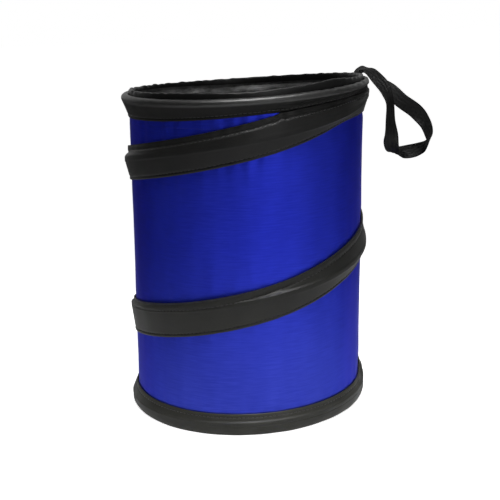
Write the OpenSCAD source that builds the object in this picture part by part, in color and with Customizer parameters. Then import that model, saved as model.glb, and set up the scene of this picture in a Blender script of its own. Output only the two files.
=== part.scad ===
// Collapsible trash bin for a car: a fabric tube held open by one coil of
// spring wire, which runs in tape sewn round the outside.
// The bin stands on z = 0 with its base centred on the origin, its front at
// -Y and its carry strap at +X. Its axis leans a little towards the strap.

/* [Body] */
// Outer radius of the fabric tube
shell_r = 84; // [76:1:92]
// Thickness of the outer fabric
shell_t = 0.8; // [0.6:0.1:1]
// Thickness of the waterproof lining
lining_t = 0.6; // [0.4:0.1:0.8]
// Gap between neighbouring layers of cloth
layer_gap = 0.3; // [0.25:0.05:0.35]
// Thickness of the stiffened base panel
base_t = 1.2; // [1:0.1:1.5]
// Sideways lean of the axis for each millimetre of height
lean = 0.033; // [0:0.003:0.042]

/* [Spring wire] */
// Diameter of the spring wire
wire_d = 1.8; // [1.4:0.1:2]
// Distance from the fabric tube to the middle of the wire
wire_stand = 2.7; // [2.4:0.1:3]
// Height of the base ring's wire
base_ring_h = 6; // [5.6:0.1:6.4]
// Mean height of the rim ring's wire
rim_h = 231.2; // [215:0.2:240]
// How much higher the rim ring is at the strap's side
rim_side_rise = 1.9; // [0:0.1:3]
// How much lower the rim ring is at the back
rim_back_drop = 2.4; // [0:0.1:3]
// How much the rim ring sags in front and behind
rim_bow = 0.8; // [0:0.1:1]
// Height from the base ring to the coil's wire as it starts its first turn
coil_start = 9.5; // [9:0.1:11]
// How much lower each turn of the coil is at the strap's side than its middle
coil_tilt = 4.6; // [0:0.2:5]
// Full turns between the two rings
coil_turns = 2; // [2:2]

/* [Tape] */
// Width of the tape on the coil
tape_w = 25; // [20:1:28]
// Thickness of the tape
tape_t = 0.7; // [0.5:0.1:0.8]
// Clearance between the wire and the tape over it
wire_gap = 0.3; // [0.2:0.05:0.4]
// Height of the coil tape's lower edge where the coil starts
tape_start = -2.8; // [-4:0.2:-2]
// How far the coil tape hangs lower in front than behind
tape_sway = 4; // [0:0.5:5]
// How far the coil tape rises before it passes the strap's side
tape_rise = 2; // [0:0.2:3]
// How much further than the coil the tape rises in each turn
tape_climb = 5; // [4:0.5:6]
// Width of the coil tape's ends
tape_end_w = 2.9; // [2.5:0.1:4]
// Height of the base tape
base_tape_h = 15; // [13:0.5:17]
// Mean depth of the rim tape below the rim wire
rim_tape_drop = 10.3; // [9:0.1:11.5]
// How much shallower the rim tape is at the strap's side
rim_tape_slant = 4.2; // [2:0.2:5]
// How much deeper the rim tape is in front, over the end of the coil tape
rim_tape_dip = 2.4; // [0:0.2:3]

/* [Hem] */
// Mean height of the hem above the rim wire
hem_stand = 3.9; // [3.9:0.1:6]
// How much higher the hem stands in front than behind
hem_front_rise = 1.8; // [0:0.2:1.8]
// Depth of the hem's inner leg below the rim wire
hem_depth = 9; // [6:1:14]
// Height of the gathers along the hem's edge
gather_h = 0.3; // [0:0.1:0.5]
// Number of gathers round the hem
gathers = 22; // [12:1:30]

/* [Ferrules] */
// Length of each crimped ferrule
ferrule_l = 8; // [6:1:10]
// Wall of each ferrule
ferrule_t = 0.4; // [0.3:0.1:0.5]
// Clearance between the wire and its ferrule
ferrule_gap = 0.25; // [0.2:0.05:0.3]

/* [Strap] */
// Width of the webbing
strap_w = 11; // [9:0.5:12]
// Thickness of the webbing
strap_t = 1.2; // [0.8:0.1:1.4]
// How far the loop hangs below its seam
strap_drop = 58; // [50:1:62]

/* [Hidden] */

fabric_blue = "#1c2496";
tape_black = "#2b2b29";
lining_grey = "#4a4a4a";
webbing_black = "#171717";
steel = "#9a9da0";

// Radii of the layers, from the outside inwards
lining_r = shell_r - shell_t - layer_gap;
hem_inner_r = lining_r - lining_t - layer_gap;
wire_r = shell_r + wire_stand;
tape_seat_r = shell_r + layer_gap;
ridge_r = wire_r + wire_d / 2 + wire_gap;

// Heights of the layers at the base
base_lining_z = base_t + layer_gap;
lining_z = base_lining_z + lining_t + layer_gap;

// Wires that lie one above the other in a ferrule are this far apart
lap = wire_d + ferrule_gap * 2 + 0.3;
// Places of the wire's ends and of the ferrules, in turns
wire_from = -1.18;
wire_to = coil_turns + 1.14;
lower_ferrule_at = -0.14;
upper_ferrule_at = coil_turns + 0.09;
// The coil rises evenly from just above the base ring to the rim at the strap
coil_low = base_ring_h + coil_start;
coil_pitch = (rim_h + rim_side_rise + layer_gap - coil_low) / coil_turns;
tape_pitch = coil_pitch + tape_climb;
blend = 2;
// How far the coil tape hangs below the rim tape as it comes to its end
tuck = tape_w * 0.48;
tuck_end = tape_w * 0.1;
// A tape stands full out this near the wire, and lies on the shell this far off
tent_near = wire_d * 0.9;
tent_far = wire_stand * 2;

// Steps round one turn
wire_steps = 72;
tape_steps = 64;
ring_steps = 96;
hem_steps = 132;

// Seam of the strap, between the hem and the rim tape: one end of the webbing
// stands outside the other there
strap_at = 0.039;
strap_foot = rim_z(strap_at) + wire_d / 2 + wire_gap + tape_t + layer_gap;
hem_outer_r = lining_r + layer_gap + tape_t;
inner_end = at(hem_outer_r + layer_gap + strap_t / 2, strap_at, strap_foot);
strap_gap = layer_gap + 0.2;
outer_end = at(hem_outer_r + layer_gap + strap_t * 1.5 + strap_gap, strap_at, strap_foot);
// Route of the loop: each row is a point on the webbing's middle line, from
// the inner end and in shares of the drop, then the direction across it
strap_loop = [
    [0.02, 0, 0.05, -0.2, 0.97, 0],
    [0.06, -0.02, 0.07, -0.1, 0.98, 0.1],
    [0.11, -0.05, 0.06, 0.1, 0.95, 0.2],
    [0.17, -0.1, 0.03, 0.4, 0.85, 0.4],
    [0.24, -0.18, -0.05, 0.6, 0.7, 0.5],
    [0.3, -0.25, -0.13, 0.7, 0.6, 0.4],
    [0.34, -0.32, -0.23, 0.7, 0.7, 0.1],
    [0.37, -0.36, -0.35, 0.6, 0.8, -0.1],
    [0.37, -0.37, -0.55, 0.7, 0.7, -0.2],
    [0.38, -0.37, -0.72, 0.9, 0.4, -0.2],
    [0.38, -0.35, -0.85, 1, -0.2, -0.1],
    [0.42, -0.29, -0.97, 0.75, -0.55, -0.15],
    [0.51, -0.21, -0.99, 0.2, -0.7, -0.6],
    [0.62, -0.17, -0.99, 0, -0.6, -0.8],
    [0.73, -0.16, -0.97, -0.2, -0.6, -0.8],
    [0.83, -0.19, -0.92, -0.3, -0.7, -0.7],
    [0.88, -0.25, -0.83, -0.4, -0.8, -0.4],
    [0.86, -0.29, -0.72, -0.7, -0.7, -0.1],
    [0.81, -0.29, -0.6, -0.9, -0.5, -0.1],
    [0.7, -0.27, -0.46, -0.8, -0.1, -0.6],
    [0.53, -0.22, -0.33, -0.7, -0.2, -0.7],
    [0.41, -0.14, -0.21, -0.7, -0.3, -0.6],
    [0.29, -0.05, -0.11, -0.5, -0.7, -0.4],
    [0.19, 0, -0.03, -0.2, -0.9, -0.2],
    [0.11, 0.01, 0.02, 0.1, -0.97, 0],
    [0.05, 0.01, 0.03, 0.24, -0.97, 0]
];
strap_route = concat(
    [for (up = [0, 0.6, 1.2]) seam_row(inner_end, strap_t * up, 1)],
    [for (p = strap_loop) concat(inner_end + strap_drop * [p[0], p[1], p[2]], [p[3], p[4], p[5]])],
    [for (up = [0.7, 0]) seam_row(outer_end, strap_t * up, -1)]);
strap_substeps = 3;

// Smooth step from 0 at a to 1 at b
function smooth(a, b, x) = let (s = min(1, max(0, (x - a) / (b - a)))) s * s * (3 - 2 * s);
// Larger and smaller of two values, rounded over where they cross
function soft_max(a, b) = (a + b + sqrt(pow(a - b, 2) + blend * blend)) / 2;
function soft_min(a, b) = -soft_max(-a, -b);

// Point at a radius round the leaning axis, at a number of turns from +X
function at(r, turn, z) = [lean * z + r * cos(360 * turn), r * sin(360 * turn), z];

// Height of the rim ring's wire
function rim_z(turn) =
    rim_h + rim_side_rise * cos(360 * turn) - rim_back_drop * sin(360 * turn)
    + rim_bow * cos(720 * turn);
// Height of the whole wire, from the base ring up the coil to the rim ring
function coil_z(turn) =
    coil_low + coil_pitch * turn - coil_tilt * cos(360 * turn);
function wire_z(turn) =
    let (
        low = base_ring_h + lap * smooth(-0.5, -0.25, turn),
        high = rim_z(turn) - lap * (1 - smooth(0.16, 0.5, turn - coil_turns))
    )
    soft_max(low, soft_min(coil_z(turn), high));

// Lower edge of the rim tape
function rim_tape_z(turn) =
    let (u = turn - floor(turn - 0.25))
    rim_z(turn) - rim_tape_drop + rim_tape_slant * cos(360 * turn)
    - rim_tape_dip * smooth(0.75, 0.81, u) * (1 - smooth(1, 1.25, u));
// Line that the coil tape's lower edge follows where it is free
function tape_line(turn) =
    let (u = turn - floor(turn - 0.4))
    tape_start + tape_pitch * turn + tape_sway * sin(360 * turn)
    + tape_rise * exp(-pow((u - 0.9) / 0.07, 2));
// Lower and upper edges of the coil tape, tucked in at both ends
function coil_tape_low(turn) =
    let (
        free = tape_line(turn),
        end = rim_tape_z(turn) - tuck * (1 - smooth(0, 0.16, turn - coil_turns)) - tuck_end
    )
    soft_max(base_tape_h + layer_gap, soft_min(free, end));
function coil_tape_high(turn) =
    let (
        free = tape_line(turn) + tape_w,
        start = base_tape_h + layer_gap + tape_end_w
    )
    min(max(free, start), rim_tape_z(turn) - layer_gap);
coil_tape_from = -0.06;
coil_tape_to = coil_turns + 0.18;

// How far out a tape stands at a height, where wires pass under it
function lift(d) = 1 - smooth(tent_near, tent_far, abs(d));
function ferrule_lift(turn, place) = 0.8 * exp(-pow((turn - place) / 0.022, 2));
function stand_r(reach) = tape_seat_r + (ridge_r - tape_seat_r) * reach;

// Closed solid through rings of points, the rings joined end to end or capped
module swept(rings, loop = false) {
    n = len(rings);
    m = len(rings[0]);
    last = loop ? n : n - 1;
    sides = [for (i = [0:last - 1]) for (j = [0:m - 1])
        let (a = i * m, b = (i + 1) % n * m, k = (j + 1) % m)
        each [[a + j, b + k, b + j], [a + j, a + k, b + k]]];
    caps = loop ? [] : [for (j = [0:m / 2 - 2]) let (e = (n - 1) * m)
        each [[m - 1 - j, m - 2 - j, j + 1, j],
            [e + j, e + j + 1, e + m - 2 - j, e + m - 1 - j]]];
    polyhedron(points = [for (r = rings) each r], faces = concat(sides, caps), convexity = 10);
}

// Section of a tape between its outer and inner outlines, both lowest first
function section(outer, inner, turn) = [
    for (p = outer) at(p[0], turn, p[1]),
    for (i = [len(inner) - 1:-1:0]) at(inner[i][0], turn, inner[i][1])
];
function thicker(outline) = [for (p = outline) [p[0] + tape_t, p[1]]];

// Outline of a tape from one height and radius to another, bulging over a wire
function drape(from, to, wire, bump, steps) = [for (k = [0:steps])
    let (p = from + (to - from) * k / steps)
    [max(p[0], stand_r(lift(p[1] - wire))) + bump, p[1]]];

module base_panel() {
    color(tape_black) cylinder(r = lining_r - layer_gap, h = base_t, $fn = 180);
}

module base_lining() {
    color(lining_grey) translate([0, 0, base_lining_z])
        cylinder(r = lining_r - layer_gap, h = lining_t, $fn = 180);
}

// Tube of cloth between two radii, up to a given height at each turn
module cloth_tube(r_out, t, z_low, tops) {
    swept([for (i = [0:ring_steps - 1]) let (u = i / ring_steps, top = tops[i]) [
        at(r_out - t, u, z_low), at(r_out, u, z_low), at(r_out, u, top), at(r_out - t, u, top)
    ]], loop = true);
}

module outer_shell() {
    color(fabric_blue) cloth_tube(shell_r, shell_t, base_t,
        [for (i = [0:ring_steps - 1]) rim_z(i / ring_steps) - 3]);
}

module inner_lining() {
    color(lining_grey) cloth_tube(lining_r, lining_t, lining_z,
        [for (i = [0:ring_steps - 1]) hem_z(i / ring_steps) - gather_h - tape_t - layer_gap]);
}

module spring_wire() {
    count = round((wire_to - wire_from) * wire_steps);
    color(steel) swept([for (i = [0:count])
        let (u = wire_from + i / wire_steps)
        [for (a = [0:45:315]) at(wire_r + wire_d / 2 * cos(a), u, wire_z(u) + wire_d / 2 * sin(a))]
    ]);
}

// Crimped sleeve round two wires that lie one above the other, tilted with
// them; the second wire is a whole turn further along
module ferrule(turn, second) {
    bore = wire_d / 2 + ferrule_gap;
    ahead = ferrule_l / (4 * PI * wire_r);
    z = (wire_z(turn) + wire_z(second) - lap) / 2;
    tilt = atan((wire_z(turn + ahead) - wire_z(turn - ahead)) / ferrule_l);
    translate(at(wire_r - 0.1, turn, z)) rotate([0, 0, 360 * turn]) rotate([90 + tilt, 0, 0])
        difference() {
            union() {
                for (h = [0, lap]) translate([0, h, -ferrule_l / 2])
                    cylinder(r = bore + ferrule_t, h = ferrule_l, $fn = 32);
                translate([-bore, 0, -ferrule_l / 2]) cube([2 * bore, lap, ferrule_l]);
            }
            for (h = [0, lap]) translate([0, h, -ferrule_l])
                cylinder(r = bore, h = 2 * ferrule_l, $fn = 32);
        }
}

module lower_ferrule() {
    color(steel) ferrule(lower_ferrule_at, lower_ferrule_at - 1);
}

module upper_ferrule() {
    color(steel) ferrule(upper_ferrule_at, upper_ferrule_at + 1);
}

module base_tape() {
    color(tape_black) swept([for (i = [0:ring_steps - 1])
        let (
            u = i / ring_steps - 0.5,
            bump = ferrule_lift(u, lower_ferrule_at),
            side = drape([ridge_r, base_ring_h + 0.8], [tape_seat_r, base_tape_h],
                wire_z(u), bump, 4),
            foot = [[lining_r, 0], [shell_r + 2.6, 0], [ridge_r + bump + 0.4, 2.2],
                [ridge_r + bump + tape_t, base_ring_h - 0.8]],
            foot_inside = [[lining_r, tape_t], [shell_r + 2.2, tape_t],
                [ridge_r + bump - 0.4, 2.7], [ridge_r + bump, base_ring_h - 0.8]]
        )
        section(concat(foot, thicker(side)), concat(foot_inside, side), u)
    ], loop = true);
}

module coil_tape() {
    count = round((coil_tape_to - coil_tape_from) * tape_steps);
    color(tape_black) swept([for (i = [0:count])
        let (
            u = coil_tape_from + i / tape_steps,
            low = coil_tape_low(u),
            high = coil_tape_high(u),
            z = wire_z(u),
            mid = min(max(z, low + 0.8), high - 0.8),
            ridge = stand_r(lift(z - mid)),
            side = [[stand_r(lift(z - low)), low], [ridge, mid - 0.6],
                [ridge, mid + 0.6], [stand_r(lift(z - high)), high]]
        )
        section(thicker(side), side, u)
    ]);
}

// Height of the hem's edge, with its gathers
function hem_z(turn) =
    rim_z(turn) + hem_stand - hem_front_rise * sin(360 * turn)
    + gather_h * sin(360 * gathers * turn);

module rim_tape() {
    color(tape_black) swept([for (i = [0:ring_steps - 1])
        let (
            u = coil_turns - 0.5 + i / ring_steps,
            top = rim_z(u),
            bump = ferrule_lift(u, upper_ferrule_at),
            cover = top + wire_d / 2 + wire_gap + bump,
            side = drape([tape_seat_r, rim_tape_z(u)], [ridge_r, top - 0.4], wire_z(u), bump, 4),
            crest = [[ridge_r + bump + tape_t, top + 0.5], [ridge_r + bump + 0.3, cover + 0.3],
                [wire_r + 0.2, cover + tape_t], [tape_seat_r, cover + tape_t]],
            crest_inside = [[ridge_r + bump, top + 0.4], [wire_r + 0.8 + bump, cover],
                [tape_seat_r, cover]]
        )
        section(concat(thicker(side), crest), concat(side, crest_inside), u)
    ], loop = true);
}

module hem_binding() {
    inner = hem_inner_r - tape_t;
    outer = lining_r + layer_gap;
    color(tape_black) swept([for (i = [0:hem_steps - 1])
        let (u = i / hem_steps, top = hem_z(u), foot = rim_z(u) - 3 + layer_gap)
        [
            at(inner, u, rim_z(u) - hem_depth), at(hem_inner_r, u, rim_z(u) - hem_depth),
            at(hem_inner_r, u, top - tape_t), at(outer, u, top - tape_t),
            at(outer, u, foot), at(hem_outer_r, u, foot),
            at(hem_outer_r, u, top), at(inner, u, top)
        ]
    ], loop = true);
}

// Row of the strap's route straight above its seam, its face in or out
function seam_row(end, up, face) =
    [end[0], end[1], end[2] + up, -face * sin(360 * strap_at), face * cos(360 * strap_at), 0];
// Curve through the strap's rows, with the direction across kept square to it
function row(i) = strap_route[min(max(i, 0), len(strap_route) - 1)];
function through(i, s) =
    let (a = row(i - 1), b = row(i), c = row(i + 1), d = row(i + 2))
    0.5 * (2 * b + (c - a) * s + (2 * a - 5 * b + 4 * c - d) * s * s
        + (3 * b - a - 3 * c + d) * s * s * s);
function first3(v) = [v[0], v[1], v[2]];
function last3(v) = [v[3], v[4], v[5]];
function unit(v) = v / norm(v);

module carry_strap() {
    count = (len(strap_route) - 1) * strap_substeps;
    spots = [for (i = [0:count])
        through(min(floor(i / strap_substeps), len(strap_route) - 2),
            i == count ? 1 : (i % strap_substeps) / strap_substeps)];
    color(webbing_black) swept([for (i = [0:count])
        let (
            p = first3(spots[i]),
            along = unit(first3(spots[min(i + 1, count)]) - first3(spots[max(i - 1, 0)])),
            w = last3(spots[i]),
            across = unit(w - (w * along) * along) * strap_w / 2,
            up = unit(cross(along, across)) * strap_t / 2
        )
        [p + across - up, p - across - up, p - across + up, p + across + up]
    ]);
}

base_panel();
base_lining();
base_tape();
outer_shell();
inner_lining();
spring_wire();
lower_ferrule();
coil_tape();
upper_ferrule();
rim_tape();
hem_binding();
carry_strap();
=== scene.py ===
import bpy
import math
import numpy as np
from mathutils import Matrix, Vector


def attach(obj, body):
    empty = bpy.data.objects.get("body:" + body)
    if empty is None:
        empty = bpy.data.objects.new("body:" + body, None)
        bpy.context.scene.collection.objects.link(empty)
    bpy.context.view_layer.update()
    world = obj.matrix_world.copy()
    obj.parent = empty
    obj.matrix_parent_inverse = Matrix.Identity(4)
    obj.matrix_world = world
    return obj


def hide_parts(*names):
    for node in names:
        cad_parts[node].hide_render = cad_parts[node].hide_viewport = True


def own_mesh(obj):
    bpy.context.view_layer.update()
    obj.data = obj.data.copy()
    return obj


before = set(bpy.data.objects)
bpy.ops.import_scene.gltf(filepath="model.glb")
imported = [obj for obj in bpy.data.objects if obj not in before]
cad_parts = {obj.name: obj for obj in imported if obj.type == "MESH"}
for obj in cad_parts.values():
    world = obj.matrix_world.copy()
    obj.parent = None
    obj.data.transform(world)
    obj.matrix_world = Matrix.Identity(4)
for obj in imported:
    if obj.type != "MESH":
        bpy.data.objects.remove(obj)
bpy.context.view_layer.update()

# Sizes in millimetres, the same as the solids have
sizes = {
    "shellRadius": 84.0, "lean": 0.033, "seatRadius": 84.3, "wireRadius": 86.7,
    "wireThick": 1.8, "ridgeRadius": 87.9, "liningRadius": 82.9, "baseRing": 6.0,
    "coilStart": 15.5, "coilTilt": 4.6, "lap": 2.6, "turns": 2.0,
    "rimHeight": 231.2, "sideRise": 1.9, "backDrop": 2.4, "bow": 0.8,
    "tapeWidth": 25.0, "tapeStart": -2.8, "tapeSway": 4.0, "tapeRise": 2.0, "tapeClimb": 5.0,
    "baseTape": 15.0, "rimDepth": 10.7, "rimSlant": 4.2,
}
stand = sizes["ridgeRadius"] - sizes["seatRadius"]
pitch = (sizes["rimHeight"] + sizes["sideRise"] + 0.3 - sizes["coilStart"]) / sizes["turns"]
tau = 2 * math.pi
# The rim drops this far in mm. Cloth under the cut folds to a share of its height, so
# the cut comes down as far as the rim does, and the cloth stays joined there.
drop = 195
folded = 0.09
cut = drop / (1 - folded)


def smoothStep(a, b, x):
    # 0 below a, 1 above b, and 3s^2 - 2s^3 between them
    s = np.clip((x - a) / (b - a), 0, 1)
    return s * s * (3 - 2 * s)


def softMax(a, b, k=2.0):
    # the larger of a and b, rounded by a hyperbola k wide where they cross
    return (a + b + np.sqrt((a - b) ** 2 + k * k)) / 2


def softMin(a, b, k=2.0):
    # the smaller of the two, rounded the same way
    return -softMax(-a, -b, k)


def hump(x, place, width):
    # bell curve exp(-((x - place) / width)^2)
    return np.exp(-((x - place) / width) ** 2)


def rimZ(t):
    # height of the rim ring: a tilted ring with a small bow, t in turns from +X
    return (sizes["rimHeight"] + sizes["sideRise"] * np.cos(tau * t)
            - sizes["backDrop"] * np.sin(tau * t) + sizes["bow"] * np.cos(2 * tau * t))


def wireZ(t):
    # height of the wire: base ring, a climb that is tilted once a turn, rim ring
    climb = sizes["coilStart"] + pitch * t - sizes["coilTilt"] * np.cos(tau * t)
    low = sizes["baseRing"] + sizes["lap"] * smoothStep(-0.5, -0.25, t)
    high = rimZ(t) - sizes["lap"] * (1 - smoothStep(0.16, 0.5, t - sizes["turns"]))
    return softMax(low, softMin(climb, high))


def rimTapeZ(t):
    # lower edge of the rim tape, with a small dip where the coil tape meets it
    return (rimZ(t) - sizes["rimDepth"] + sizes["rimSlant"] * np.cos(tau * t)
            - 0.5 * hump(t % 1, 0.80, 0.016))


def hemZ(t):
    # top of the hem: higher in front, and pushed up in one place near the strap
    return (rimZ(t) + 3.9 - 1.8 * np.sin(tau * t) - 1.0 * hump(t % 1, 0.75, 0.04)
            + 1.8 * hump(t % 1, 0.875, 0.035))


def coilEdges(t):
    # lower and upper edge of the tape over the coil, tucked in at both ends
    u = t - np.floor(t - 0.4)
    free = (sizes["tapeStart"] + (pitch + sizes["tapeClimb"]) * t
            + sizes["tapeSway"] * np.sin(tau * t) + sizes["tapeRise"] * hump(u, 0.9, 0.07))
    tuck = rimTapeZ(t) - 12 * (1 - smoothStep(0, 0.16, t - sizes["turns"])) - 2.5
    low = softMax(sizes["baseTape"] + 0.3, softMin(free, tuck))
    top = free + sizes["tapeWidth"] + 2.4 * smoothStep(1.785, 1.802, t)
    high = np.minimum(np.maximum(top, sizes["baseTape"] + 3.2), rimTapeZ(t) + 0.1)
    return low, high


def lift(d, near=1.6, far=5.5):
    # share of the wire's stand that a tape has d mm above or below the wire
    return 1 - smoothStep(near, far, np.abs(d))


def at(r, t, z):
    # point at radius r round the leaning axis: (lean z + r cos, r sin, z), in metres
    r, t, z = np.broadcast_arrays(r, t, z)
    x = sizes["lean"] * z + r * np.cos(tau * t)
    return np.stack([x, r * np.sin(tau * t), z], -1) / 1000


def waves(seed, count, slow, fast, phi, z=0.0, climb=0.0):
    # sum of sines round the tube, whole numbers of waves from slow to fast, each
    # leaning by up to climb waves per millimetre of height, scaled to about 1
    rng = np.random.default_rng(seed)
    total = 0.0
    for k in range(count):
        n = rng.integers(slow, fast + 1)
        total = total + rng.uniform(0.5, 1) * np.sin(
            n * phi + rng.uniform(-climb, climb) * tau * z + rng.uniform(0, tau))
    return total / (0.53 * count ** 0.5 * 1.2)


def creases(seed, count, slow, fast, phi, z, climb):
    # sharp folds: the sum of 1 - |sine| ridges that run in many directions
    rng = np.random.default_rng(seed)
    total = 0.0
    for k in range(count):
        n = rng.integers(slow, fast + 1) * rng.choice([-1, 1])
        s = np.sin((n * phi + rng.uniform(0.3, 1) * climb * tau * z + rng.uniform(0, tau)) / 2
                   + 0.8 * np.sin(3 * phi + rng.uniform(0, tau)))
        total = total + rng.uniform(0.4, 1) * (1 - 2 * np.abs(s))
    return total / (0.55 * count ** 0.5 * 1.2)


def addPiece(name, points, faces, sharp):
    # mesh object at the origin, shaded smooth except over edges past sharp degrees
    mesh = bpy.data.meshes.new(name)
    mesh.from_pydata(points.reshape(-1, 3).tolist(), [], faces)
    mesh.polygons.foreach_set("use_smooth", np.ones(len(mesh.polygons), bool))
    mesh.set_sharp_from_angle(angle=math.radians(sharp))
    mesh.update()
    piece = bpy.data.objects.new(name, mesh)
    bpy.context.scene.collection.objects.link(piece)
    return piece


def skin(name, grid, along, across, loop, sharp=45):
    # mesh whose vertex (i, j) is grid[i, j]: each section i is a closed ring, and
    # neighbouring sections are joined by quads. UV is (along, across) in metres.
    n, m = grid.shape[:2]
    i = np.arange(n if loop else n - 1)[:, None]
    j = np.arange(m)[None, :]
    a, b = i * m + j, (i + 1) % n * m + j
    c, d = (i + 1) % n * m + (j + 1) % m, i * m + (j + 1) % m
    faces = np.stack(np.broadcast_arrays(a, b, c, d), -1).reshape(-1, 4).tolist()
    if not loop:
        faces += [list(range(m)), [(n - 1) * m + k for k in range(m - 1, -1, -1)]]
    piece = addPiece(name, grid, faces, sharp)
    mesh = piece.data
    u = np.stack(np.broadcast_arrays(along[i], along[i + 1], along[i + 1], along[i]), -1)
    v = np.stack(np.broadcast_arrays(across[j], across[j], across[j + 1], across[j + 1]), -1)
    uv = np.zeros((len(mesh.loops), 2))
    corners = np.stack(np.broadcast_arrays(u, v), -1).reshape(-1, 2)
    uv[:len(corners)] = corners
    mesh.uv_layers.new(name="UVMap").data.foreach_set("uv", uv.ravel())
    return piece


def lengthsRound(r, z):
    # running length round one closed section, in metres
    steps = np.hypot(np.diff(r, append=r[:1]), np.diff(z, append=z[:1]))
    return np.concatenate([[0], np.cumsum(steps)]) / 1000


def thinSection(outerR, outerZ, thick, t, row=0):
    # closed section of a cloth: its outer face from the lowest point up, then the
    # same line thick mm inside it, downwards, along the line's own normal. The
    # lengths across it are those of one row.
    dr, dz = np.gradient(outerR, axis=1), np.gradient(outerZ, axis=1)
    size = np.hypot(dr, dz) + 1e-9
    innerR, innerZ = outerR - thick * dz / size, outerZ + thick * dr / size
    r = np.concatenate([outerR, innerR[:, ::-1]], 1)
    z = np.concatenate([outerZ, innerZ[:, ::-1]], 1)
    return at(r, t[:, None], z), lengthsRound(r[row], z[row])


def hexColour(text):
    # sRGB hex to linear
    values = [int(text[k:k + 2], 16) / 255 for k in (1, 3, 5)]
    return [v / 12.92 if v <= 0.04045 else ((v + 0.055) / 1.055) ** 2.4 for v in values] + [1]


def addNode(tree, kind, settings=None, links=None, stops=None, **sockets):
    # node with its settings, its linked sockets, a ramp's two colour stops, and its
    # fixed socket values, each named with _ for a space
    node = tree.nodes.new(kind)
    for key, value in (settings or {}).items():
        setattr(node, key, value)
    for key, value in sockets.items():
        node.inputs[key.replace("_", " ")].default_value = value
    for key, source in (links or {}).items():
        tree.links.new(source, node.inputs[key])
    for index, (place, colour) in enumerate(stops or []):
        element = node.color_ramp.elements[index]
        element.position = place
        element.color = hexColour(colour)
    return node


def newMaterial(name):
    # material with an empty node tree
    material = bpy.data.materials.new(name)
    material.use_nodes = True
    tree = material.node_tree
    tree.nodes.clear()
    return material, tree


def withPaintedBounce(tree, plainColour, paintedBounce, top, most):
    # mixes two colours: the second is painted light, for the white floor's bounce near the
    # ground.
    # Its share falls smoothly from most, at 10 mm above the ground, to nothing at the height
    # top, in metres
    spot = addNode(tree, "ShaderNodeTexCoord").outputs["Object"]
    parts = addNode(tree, "ShaderNodeSeparateXYZ", links={0: spot})
    share = addNode(tree, "ShaderNodeMapRange", {"interpolation_type": "SMOOTHSTEP"},
                    {"Value": parts.outputs["Z"]}, From_Min=0.01, From_Max=top,
                    To_Min=most, To_Max=0.0)
    return addNode(tree, "ShaderNodeMix", {"data_type": "RGBA"},
                   {0: share.outputs[0], 6: plainColour.outputs[0], 7: paintedBounce.outputs[0]}).outputs[2]


print("frame loaded")

# Camera: 78.4 mm lens, 0.79 m in front, 14.8 degrees down, tilted 2.4 degrees
camera = {"lens": 78.44, "place": (0.0058, -0.7873, 0.3190), "down": 14.834, "tilt": -2.425}
cameraData = bpy.data.cameras.new("camera")
cameraData.lens = camera["lens"]
cameraData.sensor_width = 36
cameraObject = bpy.data.objects.new("camera", cameraData)
bpy.context.scene.collection.objects.link(cameraObject)
cameraObject.matrix_world = (
    Matrix.Translation(camera["place"])
    @ Matrix.Rotation(math.radians(90 - camera["down"]), 4, "X")
    @ Matrix.Rotation(math.radians(camera["tilt"]), 4, "Z"))
bpy.context.scene.camera = cameraObject

# Satin-woven nylon: long floats of fine thread lie round the tube, so it mirrors
# lights in broad soft bands, deep blue where there is nothing to mirror. Its thread is
# drawn 1 mm thick, because the real 0.1 mm is too fine to show. It is painted paler and
# greyer near the ground, up to a set height in metres: painted light, for the white floor's
# bounce and reflection on it.
satin = {
    # the paler pair, and the height and share that go with them, are painted light near the
    # ground
    "deep": "#1b269f", "mid": "#232fb2", "paintedBounceDeep": "#2a3493", "paintedBounceMid": "#333ea2",
    "paintedBounceTop": 0.15, "paintedBounceMost": 0.8, "roughness": 0.42, "metallic": 0.75,
    "tint": "#8088ff", "sheen": 0.09, "sheenRoughness": 0.2, "sheenTint": "#9a8ae0",
    "threadMm": 1.0, "floatMm": 15, "cloudMm": 26, "cloudsPerMetreUp": 9,
}


def makeSatin():
    material, tree = newMaterial("satinNylon")
    uv = addNode(tree, "ShaderNodeTexCoord").outputs["UV"]
    threadMap = addNode(tree, "ShaderNodeMapping", links={"Vector": uv},
                        Scale=(1000 / satin["floatMm"], 1000 / satin["threadMm"], 1))
    threads = addNode(tree, "ShaderNodeTexNoise", links={"Vector": threadMap.outputs[0]},
                      Scale=1.0, Detail=2.5, Roughness=0.6)
    cloudMap = addNode(tree, "ShaderNodeMapping", links={"Vector": uv},
                       Scale=(1000 / satin["cloudMm"], satin["cloudsPerMetreUp"], 1))
    cloud = addNode(tree, "ShaderNodeTexNoise", links={"Vector": cloudMap.outputs[0]},
                    Scale=1.0, Detail=3.0, Roughness=0.5)
    tone = addNode(tree, "ShaderNodeMix", {"data_type": "FLOAT"},
                   {2: threads.outputs["Fac"], 3: cloud.outputs["Fac"]}, Factor=0.45)
    # the second ramp is painted light: the paler colours near the ground
    plainColour, paintedBounce = (
        addNode(tree, "ShaderNodeValToRGB", links={"Fac": tone.outputs[0]},
                stops=[(0.38, satin[low]), (0.62, satin[high])])
        for low, high in (("deep", "mid"), ("paintedBounceDeep", "paintedBounceMid")))
    bump = addNode(tree, "ShaderNodeBump", links={"Height": threads.outputs["Fac"]},
                   Strength=0.07, Distance=0.0002)
    shader = addNode(tree, "ShaderNodeBsdfPrincipled", links={
        "Base Color": withPaintedBounce(tree, plainColour, paintedBounce, satin["paintedBounceTop"], satin["paintedBounceMost"]),
        "Normal": bump.outputs[0]},
        Roughness=satin["roughness"], Metallic=satin["metallic"], IOR=1.53,
        Specular_Tint=hexColour(satin["tint"]), Sheen_Weight=satin["sheen"],
        Sheen_Roughness=satin["sheenRoughness"], Sheen_Tint=hexColour(satin["sheenTint"]))
    addNode(tree, "ShaderNodeOutputMaterial", links={"Surface": shader.outputs[0]})
    return material


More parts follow.
